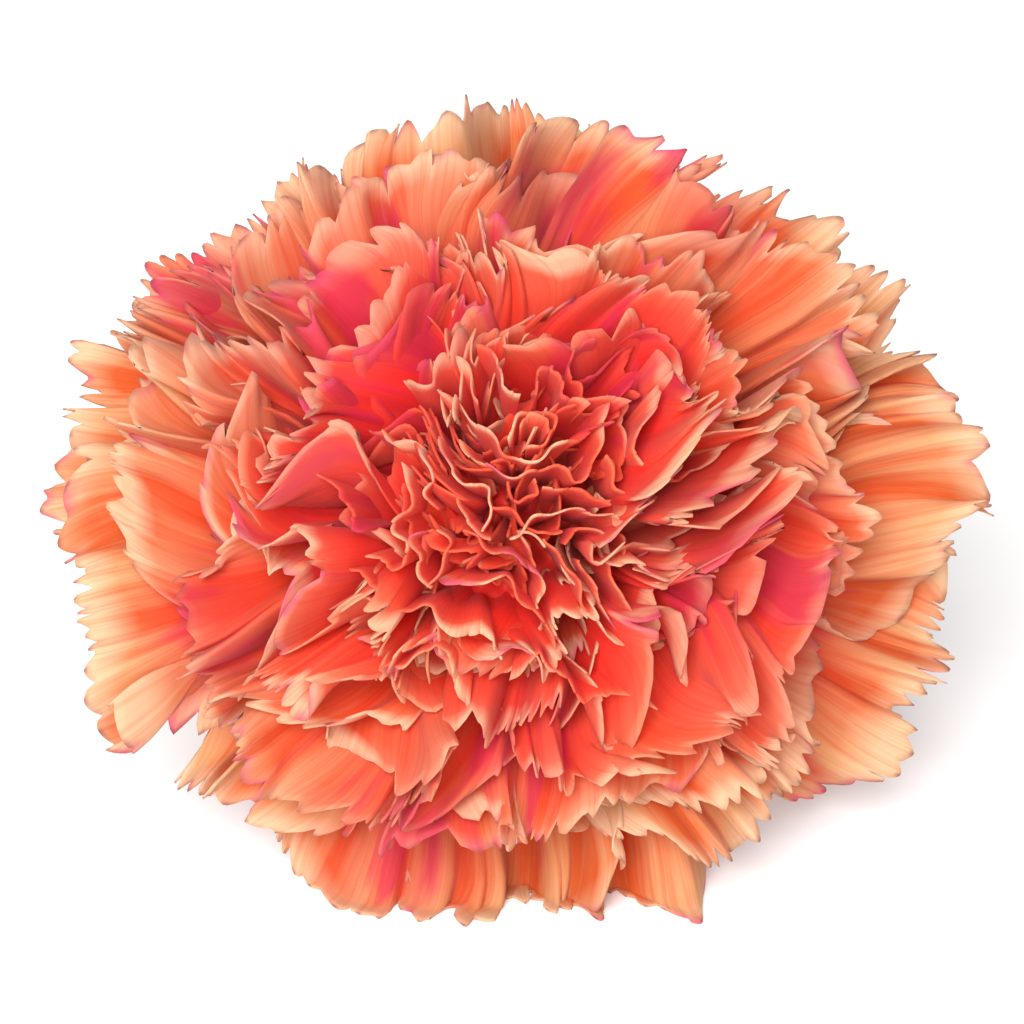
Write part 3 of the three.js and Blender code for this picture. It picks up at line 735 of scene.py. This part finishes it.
# radius and height of the tube that the claws fill
CALYX_INSIDE = [(3.2, 0.8), (4.6, 2.2), (5.4, 5), (5.9, 10), (6.2, 16), (6.4, 22), (6.6, 27.2)]


def turned_rings(profile, around):
    """Points of a turned body, one ring for each radius and height of the profile, and their turn."""
    turn = np.linspace(0, 2 * math.pi, around, endpoint=False)
    radius, height = np.array(profile, float).T[:, :, None]
    rings = np.stack([radius * np.cos(turn), radius * np.sin(turn), height + 0 * turn], -1)
    return rings, turn


def ring_faces(rings, around, closed):
    """Faces between rings of points. A closed body joins its last ring to its first, others have caps."""
    ring = np.arange(rings if closed else rings - 1)[:, None] * around
    spot = np.arange(around)[None, :]
    beside = (spot + 1) % around
    above = (ring + around) % (rings * around)
    faces = np.stack([ring + spot, ring + beside, above + beside, above + spot], -1).reshape(-1, 4).tolist()
    if not closed:
        faces.append(list(range(around))[::-1])
        faces.append(list(range((rings - 1) * around, rings * around)))
    return faces


def smooth_profile(corners, steps):
    """A profile with more points along each stretch, its corners slightly eased."""
    corners = np.array(corners, float)
    lengths = np.concatenate([[0], np.cumsum(np.linalg.norm(np.diff(corners, axis=0), axis=1))])
    places = np.linspace(0, lengths[-1], steps)
    line = np.stack([np.interp(places, lengths, corners[:, axis]) for axis in (0, 1)], -1)
    line[1:-1] = (line[:-2] + 2 * line[1:-1] + line[2:]) / 4
    return line


def tint_surface(tree, surface, colour, roughness, soft):
    """Feeds a plant skin's colour and roughness, and how much light spreads inside it."""
    feed(tree, surface.inputs["Base Color"], colour)
    feed(tree, surface.inputs["Roughness"], roughness)
    surface.inputs["Subsurface Weight"].default_value = soft
    surface.inputs["Subsurface Scale"].default_value = LIGHT_SPREAD


bore = [(NO_RADIUS, CLAW_BORE_TOP + 2.5), (1.6, CLAW_BORE_TOP + 2), (CLAW_BORE, CLAW_BORE_TOP),
        (CLAW_BORE, CLAW_FOOT), (CLAW_FOOT_RADIUS, CLAW_FOOT)]
side = [(radius - CLAW_GAP, height) for radius, height in CALYX_INSIDE if height > CLAW_FOOT]
head = [(CLAW_HEAD_RADIUS, CLAW_HEAD - 1.5), (CLAW_HEAD_RADIUS - 1, CLAW_HEAD + 1),
        (NO_RADIUS, CLAW_HEAD + 3)]
profile = smooth_profile([*bore, *side, *head], CLAW_STEPS)
rings, turn = turned_rings(profile, CLAW_AROUND)
outside = np.clip((profile[:, 0] - CLAW_BORE - 0.6) / 0.8, 0, 1)[:, None]
sway = CLAW_SWAY * np.sin(profile[:, 1] / 5)[:, None]
groove = 0.5 - 0.5 * np.cos(CLAW_FLUTES * (turn + sway))
rings[..., :2] *= 1 - (outside * CLAW_FLUTE_DEPTH * groove / np.maximum(profile[:, :1], 1))[..., None]
crumple = np.sin(1.7 * rings[..., 0] + 2) * np.sin(1.5 * rings[..., 1] + 1) * CLAW_HEAD_CRUMPLE
rings[..., 2] += crumple * np.clip((rings[..., 2] - CLAW_HEAD + 4) / 4, 0, 1)
claws = place_mesh("petal_claws", laid_down(rings), ring_faces(len(rings), CLAW_AROUND, False))
give_tissue(claws, {"height": rings[..., 2]})
claw_tissue, tree, surface = new_material("claw_tissue")
height, = stored(tree, "height")
grain = add_node(tree, "ShaderNodeTexNoise", in_Scale=900.0, in_Detail=3.0).outputs["Fac"]
shift = maths(tree, "ADD", height, maths(tree, "MULTIPLY", grain, 2.0))
colour = colour_ramp(tree, remap(tree, shift, 3.0, 34.0), CLAW_COLOURS)
tint_surface(tree, surface, colour, remap(tree, grain, 0.3, 0.7, 0.5, 0.7), soft=0.2)
claws.data.materials.append(claw_tissue)
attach(claws, "root")
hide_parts("petals")


# Calyx
# Five sepals grown together into a firm waxy tube that holds the claws. Its rim is five pointed teeth
# with thin dry edges, and fine parallel veins run up it under a pale bloom of wax.
CALYX_HEIGHT = 27.2
CALYX_NOTCH = 5.0
CALYX_TEETH = 5
# height and thickness of the tube's wall
CALYX_WALL = [(0.8, 0.8), (15, 0.8), (24, 0.5), (27.2, 0.35)]
CALYX_FLOOR = 0.8
CALYX_HOLE = 2.5
CALYX_VEINS = 45
CALYX_VEIN_RISE = 0.05
CALYX_STEPS = 70
CALYX_AROUND = 400
CALYX_COLOURS = {"foot": (176, 192, 128), "middle": (128, 160, 98), "top": (142, 172, 108),
                 "wax": (182, 200, 176), "dry": (214, 204, 160)}
GROOVE_COLOUR = (196, 206, 180)


def green_finish(name, colours):
    """Waxy green plant skin: paler towards its foot, veined, with a patchy bloom of wax and a dry rim."""
    material, tree, surface = new_material(name)
    rise, vein, rim = stored(tree, "rise", "vein", "rim")
    patches = add_node(tree, "ShaderNodeTexNoise", in_Scale=160.0, in_Detail=4.0).outputs["Fac"]
    grain = add_node(tree, "ShaderNodeTexNoise", in_Scale=1500.0, in_Detail=3.0).outputs["Fac"]
    stops = [(0.0, colours["foot"]), (0.35, colours["middle"]), (1.0, colours["top"])]
    colour = colour_ramp(tree, rise, stops)
    darker = mix_colour(tree, 1.0, colour, srgb(*GROOVE_COLOUR), "MULTIPLY")
    colour = mix_colour(tree, maths(tree, "MULTIPLY", vein, 0.7), colour, darker)
    wax = remap(tree, patches, 0.35, 0.75, 0.0, 0.45)
    colour = mix_colour(tree, wax, colour, srgb(*colours["wax"]))
    colour = mix_colour(tree, rim, colour, srgb(*colours["dry"]))
    bump = add_node(tree, "ShaderNodeBump", in_Strength=0.15, in_Distance=0.0001, in_Height=grain)
    tint_surface(tree, surface, colour, remap(tree, patches, 0.3, 0.8, 0.42, 0.66), soft=0.12)
    feed(tree, surface.inputs["Normal"], bump.outputs[0])
    surface.inputs["Specular IOR Level"].default_value = 0.4
    return material


inside = smooth_profile(CALYX_INSIDE, CALYX_STEPS)
wall = np.interp(inside[:, 1], *zip(*CALYX_WALL))
outside = np.stack([inside[:, 0] + wall, inside[:, 1] - np.clip(3 - inside[:, 1], 0, CALYX_FLOOR)], -1)
profile = np.concatenate([[(CALYX_HOLE, CALYX_FLOOR), (CALYX_HOLE, 0.0)], outside, inside[::-1]])
rings, turn = turned_rings(profile, CALYX_AROUND)
# 0 at the tip of each tooth and 1 at the bottom of each notch
wave = np.abs((turn * CALYX_TEETH / (2 * math.pi) + 4.5) % 1 - 0.5) * 2
share = np.clip((rings[..., 2] - (CALYX_HEIGHT - CALYX_NOTCH - 1)) / (CALYX_NOTCH + 1), 0, 1)
rim = share * (1 - np.clip((CALYX_HEIGHT - rings[..., 2]) / (0.6 + 1.6 * wave), 0, 1))
rings[..., 2] -= share * CALYX_NOTCH * wave ** 0.8
is_outside = np.zeros(len(profile))
is_outside[2:2 + len(outside)] = 1
vein = 0.5 + 0.5 * np.cos(CALYX_VEINS * turn)
groove = is_outside[:, None] * CALYX_VEIN_RISE * (vein - 1)
rings[..., :2] *= 1 + (groove / np.maximum(profile[:, :1], 1))[..., None]
calyx = place_mesh("calyx_tube", laid_down(rings), ring_faces(len(rings), CALYX_AROUND, True))
rise = rings[..., 2] / CALYX_HEIGHT
give_tissue(calyx, {"rise": rise, "vein": vein ** 3 + 0 * rise, "rim": rim})
calyx.data.materials.append(green_finish("calyx_skin", CALYX_COLOURS))
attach(calyx, "root")
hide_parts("calyx")


# Bracts
# Four short broad scales with drawn-out points clasp the foot of the calyx in two pairs, the outer pair
# over the edges of the inner. They are thinner than the calyx and dry at the margin.
BRACTS = 4
BRACT_FIRST = 45
BRACT_HALF_TURN = math.radians(58)
BRACT_TIP_HALF_TURN = math.radians(1.2)
# height and radius of the scales' inner side
BRACT_FOOT = -1.5
BRACT_TOP = 10.0
BRACT_INSIDE = [(BRACT_FOOT, 3.52), (-0.4, 4.3), (1.3, 5.65), (5, 6.3), (BRACT_TOP, 6.78)]
BRACT_THICKNESS = 0.3
BRACT_GAP = 0.03
BRACT_VEINS = 13
BRACT_GRID = (60, 71)
BRACT_COLOURS = {"foot": (160, 180, 112), "middle": (122, 154, 90), "top": (134, 164, 98),
                 "wax": (176, 196, 168), "dry": (206, 190, 140)}
places = np.linspace(0, 1, BRACT_GRID[0]), np.linspace(-1, 1, BRACT_GRID[1])
up, across = np.meshgrid(*places, indexing="ij")
height = BRACT_FOOT + (BRACT_TOP - BRACT_FOOT) * up
# each scale reaches past its neighbour at the foot, narrows to a point and is thin at the margin
half_turn = BRACT_HALF_TURN * np.clip(1 - up ** 2.2, 0, 1) ** 0.75 + BRACT_TIP_HALF_TURN
thickness = BRACT_THICKNESS * (1 - 0.7 * np.clip(np.abs(across) ** 6 + up ** 8, 0, 1))
# an outer scale steps out over the inner ones and comes back to the calyx at its tip
step_out = (0.25 + 0.75 * np.clip(4 * up, 0, 1)) * (1 - 0.85 * np.clip((up - 0.65) / 0.3, 0, 1))
skins, scale_faces = [], []
for scale in range(BRACTS):
    turn = math.radians(BRACT_FIRST + 360 / BRACTS * scale) + across * half_turn
    lift = BRACT_GAP + (BRACT_THICKNESS + BRACT_GAP) * (scale % 2) * step_out
    inner = np.interp(height, *zip(*BRACT_INSIDE)) + lift
    scale_faces.append(skin_faces(*BRACT_GRID) + 2 * scale * up.size)
    for radius in (inner + thickness, inner):
        skins.append(np.stack([radius * np.cos(turn), radius * np.sin(turn), height], -1).reshape(-1, 3))
bracts = place_mesh("bract_scales", laid_down(np.concatenate(skins)), np.concatenate(scale_faces))
vein = (0.5 + 0.5 * np.cos(math.pi * BRACT_VEINS * across)) ** 3
rim = np.clip(np.abs(across) ** 8 + up ** 14, 0, 1)
grids = {"rise": up, "vein": vein, "rim": rim}
give_tissue(bracts, {trait: np.tile(grid.reshape(-1), 2 * BRACTS) for trait, grid in grids.items()})
bracts.data.materials.append(green_finish("bract_skin", BRACT_COLOURS))
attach(bracts, "root")
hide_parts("bracts")


# Pistil
# A smooth green ovary of two fused halves stands on the stem's top inside the claws, with two slender
# pale styles that part and curl at their tips.
PISTIL_FOOT = 2.5
OVARY_TOP = 13.0
STYLE_TOP = 24.0
STYLE_RADIUS = 0.38
STYLE_TAPER = 0.45
STYLE_HAIRS = 0.1
OVARY_SEAM = 0.06
OVARY = [(NO_RADIUS, PISTIL_FOOT), (1.5, PISTIL_FOOT), (2.3, 6), (2.1, 10), (1.1, OVARY_TOP),
         (NO_RADIUS, OVARY_TOP + 0.5)]
OVARY_STEPS = 60
OVARY_AROUND = 72
STYLE_STEPS = 50
STYLE_AROUND = 16
PISTIL_COLOURS = [(0.0, (186, 200, 120)), (0.45, (170, 196, 110)), (0.6, (236, 236, 206)),
                  (1.0, (250, 244, 230))]
PISTIL_FLECKS = (150, 176, 96)
rings, turn = turned_rings(smooth_profile(OVARY, OVARY_STEPS), OVARY_AROUND)
seam = np.exp(-(np.sin(turn) / 0.18) ** 2)
rings[..., :2] *= (1 - OVARY_SEAM * seam)[None, :, None]
parts, part_faces = [rings.reshape(-1, 3)], ring_faces(len(rings), OVARY_AROUND, False)
steps = np.linspace(0, 1, STYLE_STEPS)
turn = np.linspace(0, 2 * math.pi, STYLE_AROUND, endpoint=False)
hairs = STYLE_HAIRS * np.sin(9 * turn + 40 * steps[:, None]) * steps[:, None]
width = STYLE_RADIUS * (1 - STYLE_TAPER * steps)[:, None] * (1 + hairs)
for side in (-1, 1):
    height = lerp(OVARY_TOP - 1, STYLE_TOP - 0.6, steps)
    line = np.stack([side * 0.4 * steps ** 3, side * (0.5 + 0.7 * steps), height], -1)
    style = line[:, None, :] + np.stack([width * np.cos(turn), width * np.sin(turn), 0 * width], -1)
    first = sum(len(part) for part in parts)
    for face in ring_faces(STYLE_STEPS, STYLE_AROUND, False):
        part_faces.append([corner + first for corner in face])
    parts.append(style.reshape(-1, 3))
points = np.concatenate(parts)
pistil = place_mesh("ovary_and_styles", laid_down(points), part_faces)
give_tissue(pistil, {"height": points[:, 2]})
pistil_tissue, tree, surface = new_material("pistil_tissue")
height, = stored(tree, "height")
grain = add_node(tree, "ShaderNodeTexNoise", in_Scale=1200.0, in_Detail=3.0).outputs["Fac"]
colour = colour_ramp(tree, remap(tree, height, PISTIL_FOOT, STYLE_TOP), PISTIL_COLOURS)
colour = mix_colour(tree, remap(tree, grain, 0.4, 0.7, 0.0, 0.3), colour, srgb(*PISTIL_FLECKS))
tint_surface(tree, surface, colour, remap(tree, grain, 0.3, 0.7, 0.4, 0.6), soft=0.2)
pistil.data.materials.append(pistil_tissue)
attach(pistil, "root")
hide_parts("pistil")


# Stem
# A short piece of round waxy stem, cut on the slant below the flower. It widens into the receptacle
# that carries the calyx, and where it lies on the table it is pressed a little flat. The cut shows a
# green skin, a paler ring of fibres and a white pith.
STEM_RADIUS = 2.2
STEM_LENGTH = 20.0
STEM_BEND = 0.9
RECEPTACLE_RADIUS = 3.5
RECEPTACLE_FACE = -0.3
NECK_RADIUS = 2.2
NECK_TOP = 2.2
CUT_SLANT = math.tan(math.radians(35))
CUT_RINGS = 14
SLANTED_LENGTH = 10
STEM_RIBS = 24
STEM_RIB_RISE = 0.04
# height and radius up the stem and out to the receptacle's rim
STEM_WIDTHS = [(-STEM_LENGTH, STEM_RADIUS), (-7.0, STEM_RADIUS), (-4.5, STEM_RADIUS + 0.25),
               (-1.6, RECEPTACLE_RADIUS), (RECEPTACLE_FACE, RECEPTACLE_RADIUS)]
STEM_STEPS = 90
STEM_AROUND = 120
STEM_COLOURS = {"foot": (138, 168, 104), "middle": (120, 152, 92), "top": (146, 174, 108),
                "wax": (178, 198, 174), "dry": (214, 204, 160)}
# from the skin to the middle of the pith
CUT_COLOURS = [(0.0, (120, 150, 84)), (0.12, (172, 192, 124)), (0.25, (206, 214, 160)),
               (0.4, (232, 234, 204)), (1.0, (244, 242, 226))]
turn = np.linspace(0, 2 * math.pi, STEM_AROUND, endpoint=False)
cut_face = [np.full(CUT_RINGS, -STEM_LENGTH), np.linspace(NO_RADIUS, STEM_RADIUS * 0.97, CUT_RINGS)]
neck = [[RECEPTACLE_FACE, RECEPTACLE_FACE + 0.15, NECK_TOP, NECK_TOP],
        [NECK_RADIUS + 0.2, NECK_RADIUS, NECK_RADIUS, NO_RADIUS]]
heights, widths = np.concatenate([cut_face, smooth_profile(STEM_WIDTHS, STEM_STEPS).T, neck], axis=1)
on_cut = (np.arange(len(heights)) < CUT_RINGS)[:, None]
on_side = ~on_cut & (heights < -2)[:, None]
depth = np.clip(-heights / STEM_LENGTH, 0, 1)[:, None]
rib = 0.5 + 0.5 * np.cos(STEM_RIBS * turn)
radius = widths[:, None] - STEM_RIB_RISE * rib * on_side
x = radius * np.cos(turn)
y = radius * np.sin(turn)
slanted = np.clip((-heights - SLANTED_LENGTH) / (STEM_LENGTH - SLANTED_LENGTH), 0, 1)[:, None]
slant = slanted * y * CUT_SLANT
rings = np.stack([x, y + STEM_BEND * depth ** 2, heights[:, None] + slant], -1)
points = laid_down(rings)
points[..., 2] = np.maximum(points[..., 2], 0)
stem = place_mesh("cut_stem", points, ring_faces(len(rings), STEM_AROUND, False))
give_tissue(stem, {
    "rise": (heights[:, None] + STEM_LENGTH) / (STEM_LENGTH + NECK_TOP) + 0 * turn,
    "vein": (1 - rib) ** 2 * on_side,
    "pith": np.where(on_cut, 1 - widths[:, None] / STEM_RADIUS, 0) + 0 * turn,
    "cut": on_cut + 0.0 * turn,
    "rim": 0 * radius,
})
stem_skin = green_finish("stem_skin", STEM_COLOURS)
tree = stem_skin.node_tree
surface = tree.nodes["Principled BSDF"]
skin_colour = surface.inputs["Base Color"].links[0].from_socket
pith, cut = stored(tree, "pith", "cut")
colour = mix_colour(tree, cut, skin_colour, colour_ramp(tree, pith, CUT_COLOURS))
feed(tree, surface.inputs["Base Color"], colour)
stem.data.materials.append(stem_skin)
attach(stem, "root")
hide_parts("stem")
